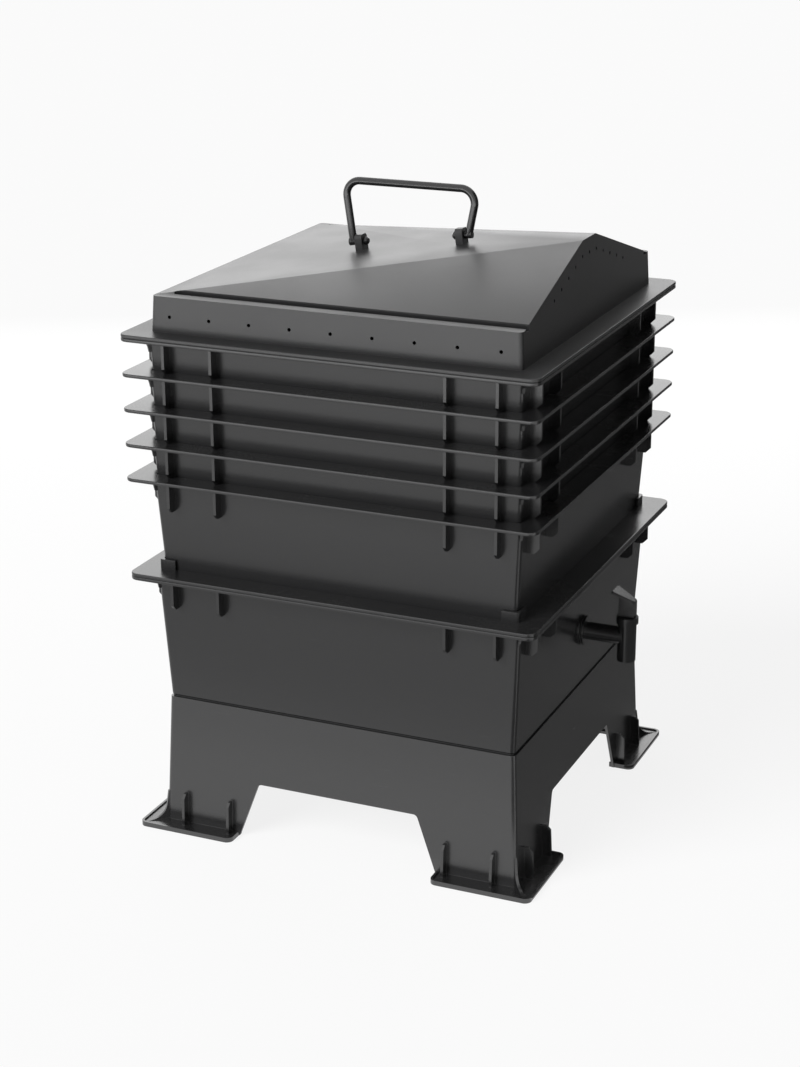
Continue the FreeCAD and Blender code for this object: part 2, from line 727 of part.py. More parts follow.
def make_lid():
    """The hood: flange, drafted skirt, one-sided roof with drip grooves, vents, a lip and handle lugs."""
    shell = new_body("lid_shell")
    hood(shell, "places.lid_base", "0")
    roof_cuts(shell, "0", [("sizes.facet_foot_half", "places.rim_top")])
    flange(shell, "places.lid_base + sizes.flange_thick")
    lip_half = (
        "sizes.wall_top_half - sizes.tray_wall - places.draft * sizes.lid_lip_depth - sizes.lid_lip_gap"
    )
    lip = square_sketch(shell, lip_half, "sizes.lid_corner", "places.lid_base - sizes.lid_lip_depth")
    pad(shell, lip, "sizes.lid_lip_depth")
    drip_grooves(shell)
    front_vents(shell)
    gable_vents(shell)
    handle_lugs(shell)
    core = new_body("lid_core")
    hood(core, "places.lid_base - 2 * sizes.lid_lip_depth", "sizes.lid_wall")
    inner_foot = "sizes.groove_inner - sizes.lid_wall"
    level = "places.rim_top - sizes.groove_depth - sizes.lid_wall"
    shoulder = f"{inner_foot} - sizes.lid_wall"
    shoulder_level = (
        f"places.rim_top - sizes.lid_wall + places.facet_slope * (sizes.facet_foot_half - ({shoulder}))"
    )
    roof_cuts(core, "-sizes.lid_wall", [(inner_foot, level), (shoulder, shoulder_level)])
    lid = doc.addObject("Part::Cut", "lid")
    lid.Base = shell
    lid.Tool = core
    return lid


def drip_grooves(body):
    """A groove along the foot of each side plane, round at its low end and open at the gable."""
    profile = sketch(body, "XY_Plane", "places.rim_top - sizes.groove_depth")
    half = "sizes.groove_round"
    outer = "sizes.groove_inner + sizes.groove_width"
    for sign in ("-", ""):
        near, far = f"{sign}sizes.groove_inner", f"{sign}({outer})"
        start, end = ("-sizes.groove_start", "sizes.flange_half")
        corners = [(start, far, half), (end, far), (end, near), (start, near, half)]
        outline(profile, corners if sign else corners[::-1])
    pocket(body, profile, None, flip=True)


def front_vents(body):
    """A row of vents through the skirt's front and back."""
    first = "-(sizes.front_vents - 1) / 2 * sizes.front_vent_spacing"
    profile = sketch(body, "XZ_Plane", "0", (first, "places.lid_base + sizes.front_vent_height"))
    vent_outline(profile)
    vent = pocket(body, profile, None, symmetric=True)
    across = (datum(body, "X_Axis"), [""])
    repeat(body, vent, [in_line(body, across, "sizes.front_vents", "sizes.front_vent_spacing")])


def gable_vents(body):
    """Vents through the gable that follow the roof's edge: one under the ridge and a row down each side."""
    depth = "sizes.lid_skirt_half - places.gable_half + 4 * sizes.lid_wall"
    ridge = "places.rim_top + sizes.lid_peak - sizes.gable_vent_drop"
    top = sketch(body, "YZ_Plane", "sizes.lid_skirt_half", ("0", ridge))
    vent_outline(top)
    pocket(body, top, depth)
    y = "sizes.gable_vent_spacing"
    z = f"places.rim_top + places.facet_slope * (sizes.facet_foot_half - {y}) - sizes.gable_vent_drop"
    side = sketch(
        body, "YZ_Plane", "sizes.lid_skirt_half", (y, z), ((0, 0, 1), "-atan(places.facet_slope)")
    )
    vent_outline(side)
    pitch = f"{y} * sqrt(1 + places.facet_slope * places.facet_slope)"
    repeat(body, pocket(body, side, depth), [
        in_line(body, (side, ["H_Axis"]), "sizes.gable_side_vents", pitch),
        mirrored(body, "XZ_Plane"),
    ])


def handle_lugs(body):
    """Two upright lugs with rounded tops on the sloping roof, bored for the handle's pins."""
    for place in ("-sizes.lug_place", "sizes.lug_place"):
        lug = axis_sketch(body, place)
        side = "sizes.lug_depth / 2"
        foot = "-sizes.axis_height - sizes.lid_wall / 2"
        outline(lug, [
            (minus(side), foot),
            (side, foot),
            (side, "sizes.lug_top", "sizes.lug_round"),
            (minus(side), "sizes.lug_top", "sizes.lug_round"),
        ])
        pad(body, lug, "sizes.lug_width", symmetric=True)
        bore = axis_sketch(body, place)
        ring(bore, "sizes.pin_diameter + 2 * sizes.pin_gap")
        pocket(body, bore, "2 * sizes.lug_width", symmetric=True)


def make_handle():
    """The bail: a bent rod with a level grip, and a knuckle and an inward pin at the foot of each leg."""
    body = new_body("lid_handle")
    route = sketch(body, "XZ_Plane")
    low_foot = ("-places.leg_x", "places.axis_middle - places.leg_rise")
    high_foot = ("places.leg_x", "places.axis_middle + places.leg_rise")
    outline(route, [
        low_foot,
        ("-sizes.grip_half", "places.grip_top", "sizes.grip_bend"),
        ("sizes.grip_half", "places.grip_top", "sizes.grip_bend"),
        high_foot,
    ], closed=False)
    lean = "-atan((sizes.grip_half - places.leg_x) / (sizes.grip_rise + places.leg_rise))"
    section = sketch(body, "XY_Plane", low_foot[1], (low_foot[0], "0"), ((0, 1, 0), lean))
    ring(section, "sizes.rod_diameter")
    bail = body.newObject("PartDesign::AdditivePipe", "lid_handle_bail")
    bail.Profile = section
    bail.Spine = (route, [""])
    for sign, inward in (("-", False), ("", True)):
        place = f"{sign}places.leg_place"
        knuckle = axis_sketch(body, place)
        ring(knuckle, "sizes.rod_diameter")
        pad(body, knuckle, "sizes.rod_diameter", symmetric=True)
        pin = axis_sketch(body, place)
        ring(pin, "sizes.pin_diameter")
        reach = "places.leg_place - places.cap_seat + sizes.cap_hole"
        pad(body, pin, reach, flip=inward)
    return body


def make_cap(name, sign):
    """A tapering cap pushed on to the inner end of a handle pin."""
    body = new_body(name)
    place = f"{sign}places.cap_seat"
    x = f"{place} / places.roof_run"
    z = f"places.axis_middle + {place} * places.roof_slope / places.roof_run"
    angle = "-atan(places.roof_slope)" if sign else "180 deg - atan(places.roof_slope)"
    profile = sketch(body, "XZ_Plane", "0", (x, z), ((0, 0, 1), minus(angle)))
    bore = "sizes.pin_diameter / 2 + sizes.pin_gap"
    outline(profile, [
        ("0", bore),
        ("0", "sizes.cap_diameter / 2"),
        ("sizes.cap_shoulder", "sizes.cap_diameter / 2"),
        ("sizes.cap_height", "sizes.cap_crown / 2"),
        ("sizes.cap_height", "0"),
        ("sizes.cap_hole + sizes.pin_gap", "0"),
        ("sizes.cap_hole + sizes.pin_gap", bore),
    ])
    revolve(body, profile)
    return body


def tap_disc(body, start, length, diameter):
    """A round stretch of the tap along its barrel's axis."""
    profile = sketch(body, "YZ_Plane", start, ("0", "sizes.tap_height"))
    ring(profile, diameter)
    pad(body, profile, length)


def spout_disc(body, start, length, diameter):
    """A round stretch of the tap along its spout's axis."""
    profile = sketch(body, "XY_Plane", start, ("places.spout_x", "0"))
    ring(profile, diameter)
    pad(body, profile, length)


def spout_bore(body, start, length, diameter):
    """A round hole down the spout's axis from a level."""
    profile = sketch(body, "XY_Plane", start, ("places.spout_x", "0"))
    ring(profile, diameter)
    pocket(body, profile, length)


def make_tap_body():
    """Shank, wall flange, barrel and spout in one moulding, bored for the flow and the plug."""
    body = new_body("tap_body")
    tap_disc(body, "places.shank_end", "places.flange_face - places.shank_end", "sizes.shank_diameter")
    tap_disc(body, "places.flange_face", "sizes.tap_flange_thick", "sizes.tap_flange_diameter")
    tap_disc(body, "places.flange_face", "sizes.tap_reach", "sizes.barrel_diameter")
    spout_length = "places.spout_top - places.spout_bottom"
    spout_disc(body, "places.spout_bottom", spout_length, "sizes.spout_diameter")
    spout_bore(body, "places.spout_top", None, "sizes.outlet_diameter")
    spout_bore(body, "places.spout_top", "places.spout_top - places.plug_bottom", "sizes.plug_diameter")
    flow = sketch(body, "YZ_Plane", "places.shank_end", ("0", "sizes.tap_height"))
    ring(flow, "sizes.barrel_bore")
    pocket(body, flow, "places.spout_x - places.shank_end", flip=True)
    return body


def make_tap_bonnet():
    """The ring that caps the spout and keeps the plug in."""
    body = new_body("tap_bonnet")
    skirt_foot = "places.spout_top - sizes.bonnet_skirt"
    spout_disc(body, skirt_foot, "sizes.bonnet_skirt + sizes.bonnet_top", "sizes.bonnet_diameter")
    spout_bore(body, "places.spout_top", None, "sizes.spout_diameter + 2 * sizes.plug_gap")
    spout_bore(body, "places.bonnet_height", None, "sizes.neck_diameter + 2 * sizes.plug_gap")
    return body


def make_tap_plug():
    """The turning plug with its port, neck, flat stem and tilted tapering lever."""
    body = new_body("tap_plug")
    width = "sizes.plug_diameter - 2 * sizes.plug_gap"
    spout_disc(body, "places.plug_bottom", "places.spout_top - places.plug_bottom - sizes.plug_gap", width)
    neck_foot = "places.spout_top - sizes.plug_gap"
    stem_foot = "places.bonnet_height + sizes.stem_lift"
    spout_disc(body, neck_foot, f"{stem_foot} - ({neck_foot})", "sizes.neck_diameter")
    half = "sizes.stem_width / 2"
    fall = f"tan(sizes.lever_slope) * {half}"
    stem = sketch(body, "XZ_Plane", "0", ("places.spout_x", "0"))
    outline(stem, [
        (minus(half), stem_foot),
        (half, stem_foot),
        (half, f"places.lever_middle - {fall}"),
        (minus(half), f"places.lever_middle + {fall}"),
    ])
    pad(body, stem, "sizes.stem_depth", symmetric=True)
    tilt = ((0, 1, 0), "sizes.lever_slope")
    lever = sketch(body, "XY_Plane", "places.lever_middle", ("places.spout_x", "0"), tilt)
    outline(lever, [
        ("-sizes.lever_inner", "-sizes.lever_wide / 2", "sizes.lever_corner"),
        ("sizes.lever_outer", "-sizes.lever_narrow / 2", "sizes.lever_corner"),
        ("sizes.lever_outer", "sizes.lever_narrow / 2", "sizes.lever_corner"),
        ("-sizes.lever_inner", "sizes.lever_wide / 2", "sizes.lever_corner"),
    ])
    pad(body, lever, "sizes.lever_thick", symmetric=True)
    plug_passage(body)
    ring_groove(body)
    return body


def plug_passage(body):
    """The flow's way through the plug: in from its +Y side at rest, and out at its foot."""
    port = sketch(body, "XZ_Plane", "0", ("places.spout_x", "sizes.tap_height"))
    ring(port, "sizes.port_diameter")
    pocket(body, port, "sizes.plug_diameter")
    drain = sketch(body, "XY_Plane", "places.plug_bottom", ("places.spout_x", "0"))
    ring(drain, "sizes.port_diameter")
    pocket(body, drain, "sizes.plug_drop", flip=True)


def ring_groove(body):
    """A square groove round the plug for its sealing ring, above the port."""
    outer = "sizes.plug_diameter / 2"
    inner = f"{outer} - sizes.plug_gap - sizes.ring_section - 2 * sizes.plug_gap"
    half = "sizes.ring_section / 2 + sizes.plug_gap"
    profile = sketch(body, "XZ_Plane", "0", ("places.spout_x", "sizes.tap_height + sizes.ring_lift"))
    outline(profile, [(inner, minus(half)), (outer, minus(half)), (outer, half), (inner, half)])
    groove = body.newObject("PartDesign::Groove", "tap_plug_groove")
    groove.Profile = profile
    groove.ReferenceAxis = (profile, ["V_Axis"])


def make_plug_ring():
    """The sealing ring in the plug's groove."""
    body = new_body("plug_ring")
    foot = "sizes.tap_height + sizes.ring_lift - sizes.ring_section / 2"
    outer = "sizes.plug_diameter - 4 * sizes.plug_gap"
    profile = sketch(body, "XY_Plane", foot, ("places.spout_x", "0"))
    ring(profile, outer)
    ring(profile, f"{outer} - 2 * sizes.ring_section")
    pad(body, profile, "sizes.ring_section")
    return body


def make_washer(name, start):
    """A flat sealing ring round the tap's shank."""
    body = new_body(name)
    profile = sketch(body, "YZ_Plane", start, ("0", "sizes.tap_height"))
    ring(profile, "sizes.seal_diameter")
    ring(profile, "sizes.shank_diameter + 2 * sizes.plug_gap")
    pad(body, profile, "sizes.seal_thick")
    return body


def make_lock_nut():
    """The six-sided nut that clamps the tap from inside the collector."""
    body = new_body("tap_lock_nut")
    profile = sketch(body, "YZ_Plane", "places.nut_face", ("0", "sizes.tap_height"))
    many_sided(profile, "sizes.nut_flats / sqrt(3)", 6, "sizes.nut_turn")
    ring(profile, "sizes.shank_diameter + 2 * sizes.plug_gap")
    pad(body, profile, "sizes.nut_thick", flip=True)
    return body


tray_count = int(number("sizes.tray_count"))
lowest_tray = make_tray(f"tray_{tray_count}")
pieces = [make_stand(), make_collector(), make_sieve_plate(), lowest_tray]
pieces += [tray_above(f"tray_{tray_count - up}", lowest_tray, up) for up in range(1, tray_count)]
pieces += [
    make_lid(),
    make_handle(),
    make_cap("handle_cap_left", "-"),
    make_cap("handle_cap_right", ""),
    make_tap_body(),
    make_tap_bonnet(),
    make_tap_plug(),
    make_plug_ring(),
    make_washer("tap_outer_seal", "sizes.tap_boss_face"),
    make_washer("tap_inner_seal", "places.nut_face"),
    make_lock_nut(),
]
doc.recompute()

failed = [item.Label for item in doc.Objects if {"Invalid", "Error"} & set(item.State)]
if failed:
    raise RuntimeError(f"objects that did not build: {failed}")
for piece in pieces:
    if piece.Shape.isNull() or not piece.Shape.isValid():
        raise RuntimeError(f"{piece.Label} has no valid shape")

os.makedirs("parts", exist_ok=True)
for piece in pieces:
    piece.Shape.exportStep(f"parts/{piece.Label}.step")
    print(piece.Label, len(piece.Shape.Solids), round(piece.Shape.Volume))
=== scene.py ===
import json
from math import hypot, pi, radians

import bpy
from mathutils import Matrix, Vector

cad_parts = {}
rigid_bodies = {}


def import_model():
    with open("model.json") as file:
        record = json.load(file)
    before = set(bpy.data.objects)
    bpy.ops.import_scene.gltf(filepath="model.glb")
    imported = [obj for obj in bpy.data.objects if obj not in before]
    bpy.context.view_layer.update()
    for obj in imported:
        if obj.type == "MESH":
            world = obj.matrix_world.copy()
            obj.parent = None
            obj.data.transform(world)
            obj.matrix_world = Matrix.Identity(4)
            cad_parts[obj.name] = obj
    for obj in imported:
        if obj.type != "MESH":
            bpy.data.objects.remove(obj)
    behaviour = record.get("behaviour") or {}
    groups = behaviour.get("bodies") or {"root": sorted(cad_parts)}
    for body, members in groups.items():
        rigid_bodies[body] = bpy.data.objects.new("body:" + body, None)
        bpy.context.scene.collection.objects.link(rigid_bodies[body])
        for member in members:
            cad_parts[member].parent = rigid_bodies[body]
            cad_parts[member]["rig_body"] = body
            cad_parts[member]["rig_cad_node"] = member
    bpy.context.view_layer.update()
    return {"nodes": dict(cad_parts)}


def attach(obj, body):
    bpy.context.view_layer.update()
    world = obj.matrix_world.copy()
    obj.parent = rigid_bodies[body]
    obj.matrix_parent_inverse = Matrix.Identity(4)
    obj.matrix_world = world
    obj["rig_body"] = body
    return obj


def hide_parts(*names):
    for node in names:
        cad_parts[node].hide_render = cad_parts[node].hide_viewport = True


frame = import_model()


# Stand
# One injection moulding in black polypropylene that carries the whole stack on four legs. The mould
# rounds its edges and leaves a fine satin grain, and its foot plates reach outwards from the legs only.

MERGE_GAP = 0.0001
FLAT_WITHIN = radians(0.4)
ROUNDED_OVER = radians(40)
SMOOTH_UNDER = radians(35)
ROUND_STEPS = 2


def pick_edges(piece, wanted):
    """Goes into edit mode with only those edges selected that a test on their two ends wants."""
    bpy.ops.object.mode_set(mode="EDIT")
    bpy.ops.mesh.select_all(action="DESELECT")
    bpy.ops.object.mode_set(mode="OBJECT")
    places = [vertex.co for vertex in piece.data.vertices]
    for edge in piece.data.edges:
        edge.select = wanted(*(places[end] for end in edge.vertices))
    bpy.ops.object.mode_set(mode="EDIT")


def finished(node, edge_round, soft=None, soft_round=0, cutter=None):
    """A copy of a moulded piece with its faces joined, its soft edges well rounded and the rest a little.

    What lies inside the cutter is taken off first, and the cutter is used up.
    """
    source = frame["nodes"][node]
    bpy.ops.object.select_all(action="DESELECT")
    source.select_set(True)
    bpy.context.view_layer.objects.active = source
    bpy.ops.object.duplicate()
    piece = bpy.context.object
    piece.name = f"{node}_moulding"
    piece.data.name = piece.name
    del piece["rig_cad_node"]
    bpy.ops.object.mode_set(mode="EDIT")
    bpy.ops.mesh.select_all(action="SELECT")
    bpy.ops.mesh.remove_doubles(threshold=MERGE_GAP)
    bpy.ops.mesh.dissolve_limited(angle_limit=FLAT_WITHIN)
    bpy.ops.mesh.select_all(action="DESELECT")
    bpy.ops.object.mode_set(mode="OBJECT")
    if cutter:
        trim = piece.modifiers.new("trim", "BOOLEAN")
        trim.object = cutter
        bpy.ops.object.modifier_apply(modifier="trim")
        bpy.data.objects.remove(cutter)
    if soft:
        pick_edges(piece, soft)
        bpy.ops.mesh.bevel(offset=soft_round, segments=ROUND_STEPS, affect="EDGES", clamp_overlap=False)
        bpy.ops.object.mode_set(mode="OBJECT")
    rounding = piece.modifiers.new("rounding", "BEVEL")
    rounding.width = edge_round
    rounding.segments = ROUND_STEPS
    rounding.limit_method = "ANGLE"
    rounding.angle_limit = ROUNDED_OVER
    bpy.ops.object.modifier_apply(modifier="rounding")
    bpy.ops.object.shade_smooth_by_angle(angle=SMOOTH_UNDER)
    flatness = piece.modifiers.new("flatness", "WEIGHTED_NORMAL")
    flatness.keep_sharp = True
    bpy.ops.object.modifier_apply(modifier="flatness")
    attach(piece, source["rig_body"])
    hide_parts(node)
    return piece


class Wire:
    """One output of a shader node; arithmetic on wires adds Math nodes to the same material."""

    def __init__(self, tree, socket=None):
        self.tree = tree
        self.socket = socket

    def node(self, kind, settings=None, inputs=None, out=0):
        """A node of a kind with its settings made first, then its sockets' values or links."""
        made = self.tree.nodes.new(kind)
        for name, value in (settings or {}).items():
            setattr(made, name, value)
        for key, value in (inputs or {}).items():
            if isinstance(value, Wire):
                self.tree.links.new(value.socket, made.inputs[key])
            else:
                made.inputs[key].default_value = value
        return Wire(self.tree, made.outputs[out] if made.outputs else None)

    def math(self, operation, first, second):
        return self.node("ShaderNodeMath", {"operation": operation}, {0: first, 1: second})

    def __add__(self, other):
        return self.math("ADD", self, other)

    def __sub__(self, other):
        return self.math("SUBTRACT", self, other)

    def __rsub__(self, other):
        return self.math("SUBTRACT", other, self)

    def __mul__(self, other):
        return self.math("MULTIPLY", self, other)

    __radd__ = __add__
    __rmul__ = __mul__

    def band(self, low, high):
        """0 below the low value, 1 above the high one and a smooth climb between."""
        limits = {"Value": self, "From Min": low, "From Max": high}
        return self.node("ShaderNodeMapRange", {"interpolation_type": "SMOOTHSTEP"}, limits)


def blank(owner):
    """The start of an empty node tree for a material or the world."""
    owner.use_nodes = True
    owner.node_tree.nodes.clear()
    return Wire(owner.node_tree)


# how fine each pattern is, in features per metre, and how much closer the scuffs lie along each axis
GRAIN_SCALE = 1500
CLOUD_SCALE = 11
SCUFF_SCALE = 26
SCUFF_PACKING = (1, 1, 14)
# where scuffs begin and are full in their noise, and dust in a face's upward tilt and in its patches
SCUFF_BAND = (0.62, 0.78)
TILT_BAND = (0.6, 0.98)
PATCH_BAND = (0.3, 0.75)
# what each pattern adds to the roughness, clouds and grain to both sides of their noise's middle
NOISE_MIDDLE = 0.5
CLOUD_GLOSS = 0.04
GRAIN_GLOSS = 0.08
SCUFF_GLOSS = 0.03
DUST_GLOSS = 0.04
# how much of the dust's grey a scuff takes on, and how deep the grain is
SCUFF_TINT = 0.012
DUST_GREY = (0.16, 0.155, 0.148, 1)
GRAIN_STRENGTH = 0.1
GRAIN_DEPTH = 0.0004
PLASTIC_IOR = 1.63


def satin_plastic(name, colour, roughness, dust, seed, ior=PLASTIC_IOR):
    """Black moulded plastic: cavity grain, cloudy gloss, faint handling scuffs and some settled dust."""
    material = bpy.data.materials.new(name)
    start = blank(material)
    place = start.node("ShaderNodeTexCoord", out="Object")
    place = start.node("ShaderNodeMapping", inputs={"Vector": place, "Location": (seed, seed / 2, 0)})
    packed = start.node("ShaderNodeMapping", inputs={"Vector": place, "Scale": SCUFF_PACKING})
    grain = start.node("ShaderNodeTexNoise", inputs={"Vector": place, "Scale": GRAIN_SCALE, "Detail": 2})
    clouds = start.node("ShaderNodeTexNoise", inputs={"Vector": place, "Scale": CLOUD_SCALE, "Detail": 4})
    marks = start.node("ShaderNodeTexNoise", inputs={"Vector": packed, "Scale": SCUFF_SCALE, "Detail": 6})
    scuffs = marks.band(*SCUFF_BAND)
    normal = start.node("ShaderNodeNewGeometry", out="Normal")
    upward = start.node("ShaderNodeSeparateXYZ", inputs={"Vector": normal}, out="Z")
    settled = upward.band(*TILT_BAND) * clouds.band(*PATCH_BAND)
    # sockets 6, 7 and 2 are the Mix node's two colours and its mixed colour
    tint = start.node(
        "ShaderNodeMix",
        {"data_type": "RGBA"},
        {0: scuffs * SCUFF_TINT + settled * dust, 6: (*colour, 1), 7: DUST_GREY},
        out=2,
    )
    uneven = (clouds - NOISE_MIDDLE) * CLOUD_GLOSS + (grain - NOISE_MIDDLE) * GRAIN_GLOSS
    gloss = uneven + scuffs * SCUFF_GLOSS + settled * DUST_GLOSS + roughness
    relief = start.node(
        "ShaderNodeBump",
        inputs={"Strength": GRAIN_STRENGTH, "Distance": GRAIN_DEPTH, "Height": grain},
    )
    shader = start.node(
        "ShaderNodeBsdfPrincipled",
        inputs={"Base Color": tint, "Roughness": gloss, "IOR": ior, "Normal": relief},
    )
    start.node("ShaderNodeOutputMaterial", inputs={"Surface": shader})
    return material


def dress(piece, material):
    """Gives a piece its one material."""
    piece.data.materials.clear()
    piece.data.materials.append(material)


STACK_BLACK = (0.011, 0.011, 0.0115)
STACK_ROUGHNESS = 0.24
STACK_DUST = 0.03
# the stand's higher refractive index is painted light: it gives the stand brighter reflections than the
# collector of the same plastic
STAND_BRIGHTER_IOR = 1.88
BOX_EDGE = 0.0006
LEG_INSIDE = 0.184
PLATE_TOP = 0.0055

bpy.ops.object.select_all(action="DESELECT")
bpy.ops.mesh.primitive_cube_add(size=2)
leg_inside = bpy.context.object
bpy.ops.transform.resize(value=(LEG_INSIDE, LEG_INSIDE, PLATE_TOP))
bpy.ops.object.transform_apply(location=False, rotation=False, scale=True)
stand = finished("stand", BOX_EDGE, cutter=leg_inside)
# the stand's material takes the higher refractive index, a painted brightening of its reflections
stand_black = satin_plastic(
    "stand_black", STACK_BLACK, STACK_ROUGHNESS, STACK_DUST, seed=1.7, ior=STAND_BRIGHTER_IOR
)
dress(stand, stand_black)


# Collector
# The deep moulded box that gathers the liquid and carries the tap, in the stand's plastic. It drops
# into the stand's open top, and the raised edge of its foot leaves a dark seam there.

FLANGE_REACH = 0.2065
FLANGE_ROUND = 0.0008
LEVEL_WITHIN = 0.00001


def on_flange(start, end):
    """Whether an edge is part of a flange's level outline, its rounded corners too."""
    level = abs(start.z - end.z) < LEVEL_WITHIN
    return level and all(max(abs(at.x), abs(at.y)) > FLANGE_REACH for at in (start, end))


FOOT_LEVEL = 0.1385
FOOT_LEVEL_BAND = 0.0004
FOOT_HALF = 0.183
FOOT_CORNER = 0.005
FOOT_EDGE_BAND = 0.0005
SEAM_RISE = 0.0012


def on_foot(*ends):
    """Whether an edge is part of the outline of the collector's foot, its rounded corners too."""
    core = FOOT_HALF - FOOT_CORNER
    return all(
        hypot(max(abs(at.x) - core, 0), max(abs(at.y) - core, 0)) > FOOT_CORNER - FOOT_EDGE_BAND
        and abs(at.z - FOOT_LEVEL) < FOOT_LEVEL_BAND
        for at in ends
    )


collector = finished("collector", BOX_EDGE, on_flange, FLANGE_ROUND)
pick_edges(collector, on_foot)
bpy.ops.transform.translate(value=(0, 0, SEAM_RISE))
bpy.ops.object.mode_set(mode="OBJECT")
collector_black = satin_plastic("collector_black", STACK_BLACK, STACK_ROUGHNESS, STACK_DUST, seed=4.2)
dress(collector, collector_black)


# Sieve plate
# A flat slotted moulding in the same plastic, with a lug round each corner of the tray above.
# It lies loose on the collector's flange.

PLATE_EDGE = 0.0005
sieve_plate = finished("sieve_plate", PLATE_EDGE, on_flange, FLANGE_ROUND)
sieve_black = satin_plastic("sieve_black", STACK_BLACK, STACK_ROUGHNESS, STACK_DUST, seed=6.1)
dress(sieve_plate, sieve_black)


# Trays
# Five like thin-walled mouldings in the same plastic, with slotted floors.
# Each nests loose in the one below and is held by the ribs under its flange.

TRAY_COUNT = 5
FIRST_SEED = 8.3
SEED_STEP = 1.9
for number in range(TRAY_COUNT, 0, -1):
    tray = finished(f"tray_{number}", PLATE_EDGE, on_flange, FLANGE_ROUND)
    seed = FIRST_SEED + SEED_STEP * number
    tray_black = satin_plastic(f"tray_{number}_black", STACK_BLACK, STACK_ROUGHNESS, STACK_DUST, seed)
    dress(tray, tray_black)


# Lid
# A vented hood with a one-sided roof, moulded in the same plastic with a rougher face.
# Its lip drops into the top tray, and nothing else holds it.

LID_ROUGHNESS = 0.37
lid = finished("lid", BOX_EDGE, on_flange, FLANGE_ROUND)
lid_black = satin_plastic("lid_black", STACK_BLACK, LID_ROUGHNESS, STACK_DUST, seed=21.4)
dress(lid, lid_black)


# Handle and its caps
# A bent bail in smooth black nylon that swings in the lid's lugs.
# A pushed-on cap keeps each of its pins.

FITTING_BLACK = (0.012, 0.012, 0.0125)
FITTING_DUST = 0.02
FITTING_EDGE = 0.0004
HANDLE_ROUGHNESS = 0.22
for node, seed in (("lid_handle", 25.1), ("handle_cap_left", 26.4), ("handle_cap_right", 27.2)):
    fitting = finished(node, FITTING_EDGE)
    smooth_black = satin_plastic(f"{node}_black", FITTING_BLACK, HANDLE_ROUGHNESS, FITTING_DUST, seed)
    dress(fitting, smooth_black)


# Tap
# A quarter-turn drain tap in smooth black plastic: body, bonnet and plug with its lever.
# Its shank passes through the collector's wall, and the nut inside holds it there.

TAP_ROUGHNESS = 0.24
for node, seed in (("tap_body", 31.3), ("tap_bonnet", 32.9), ("tap_plug", 33.8), ("tap_lock_nut", 35.2)):
    fitting = finished(node, FITTING_EDGE)
    smooth_black = satin_plastic(f"{node}_black", FITTING_BLACK, TAP_ROUGHNESS, FITTING_DUST, seed)
    dress(fitting, smooth_black)


# Seals
# Soft matt rubber rings, held by the tap's own parts.
# One lies on each side of the collector's wall, and one round the tap's plug.

RUBBER_BLACK = (0.02, 0.02, 0.02)
RUBBER_ROUGHNESS = 0.7
SEAL_EDGE = 0.0002
for node, seed in (("tap_outer_seal", 41.0), ("tap_inner_seal", 42.5), ("plug_ring", 43.9)):
    seal = finished(node, SEAL_EDGE)
    rubber = satin_plastic(f"{node}_rubber", RUBBER_BLACK, RUBBER_ROUGHNESS, FITTING_DUST, seed)
    dress(seal, rubber)


# Floor, light and camera
# A pale studio floor under a soft key from the front left, with a large softbox behind the stack.
# Cards that only glossy faces show give the black plastic its tones.

FLOOR_SIZE = 60
FLOOR_WHITE = (0.93, 0.93, 0.93, 1)
FLOOR_GLOW = 0.85
PURE_WHITE = (1, 1, 1, 1)


def looked_at(wire):
    """1 for a ray that the eye follows, straight or by a gloss or through glass, and 0 for other light."""
    straight = wire.node("ShaderNodeLightPath", out="Is Camera Ray")
    mirrored = wire.node("ShaderNodeLightPath", out="Is Glossy Ray")
    through = wire.node("ShaderNodeLightPath", out="Is Transmission Ray")
    return wire.math("MINIMUM", straight + mirrored + through, 1)


bpy.ops.object.select_all(action="DESELECT")
bpy.ops.mesh.primitive_plane_add(size=FLOOR_SIZE)
floor = bpy.context.object
floor.name = "studio_floor"
paper = bpy.data.materials.new("studio_paper")
sheet = blank(paper)
matt = sheet.node("ShaderNodeBsdfDiffuse", inputs={"Color": FLOOR_WHITE})
glow = sheet.node("ShaderNodeEmission", inputs={"Color": PURE_WHITE, "Strength": 1})
mixed = sheet.node("ShaderNodeMixShader", inputs={0: looked_at(sheet) * FLOOR_GLOW, 1: matt, 2: glow})
sheet.node("ShaderNodeOutputMaterial", inputs={"Surface": mixed})
floor.data.materials.append(paper)

FILL_LIGHT = 0.2
world = bpy.data.worlds.new("studio")
bpy.context.scene.world = world
air = blank(world)
strength = looked_at(air) * (1 - FILL_LIGHT) + FILL_LIGHT
sky = air.node("ShaderNodeBackground", inputs={"Color": PURE_WHITE, "Strength": strength})
air.node("ShaderNodeOutputWorld", inputs={"Surface": sky})


def facing(place, aim):
    """The turn that points a light or a card from its place to what it is aimed at."""
    return (place - aim).to_track_quat("Z", "Y").to_euler()


KEY_PLACE = Vector((-1.68, -2.96, 2.08))
KEY_AIM = Vector((0, 0, 0))
KEY_STRENGTH = 3.45
KEY_SOFTNESS = radians(40)
bpy.ops.object.light_add(type="SUN", location=KEY_PLACE, rotation=facing(KEY_PLACE, KEY_AIM))
key = bpy.context.object
key.name = "key_light"
key.data.energy = KEY_STRENGTH
key.data.angle = KEY_SOFTNESS
key.visible_glossy = False

SOFTBOX_PLACE = Vector((-0.82, 1.68, 0.9))
SOFTBOX_AIM = Vector((0, 0, 0.45))
SOFTBOX_WIDTH = 2.8
SOFTBOX_HEIGHT = 1.4
SOFTBOX_POWER = 14.5
bpy.ops.object.light_add(type="AREA", location=SOFTBOX_PLACE, rotation=facing(SOFTBOX_PLACE, SOFTBOX_AIM))
softbox = bpy.context.object
softbox.name = "back_softbox"
softbox.data.shape = "RECTANGLE"
softbox.data.size = SOFTBOX_WIDTH
softbox.data.size_y = SOFTBOX_HEIGHT
softbox.data.energy = SOFTBOX_POWER


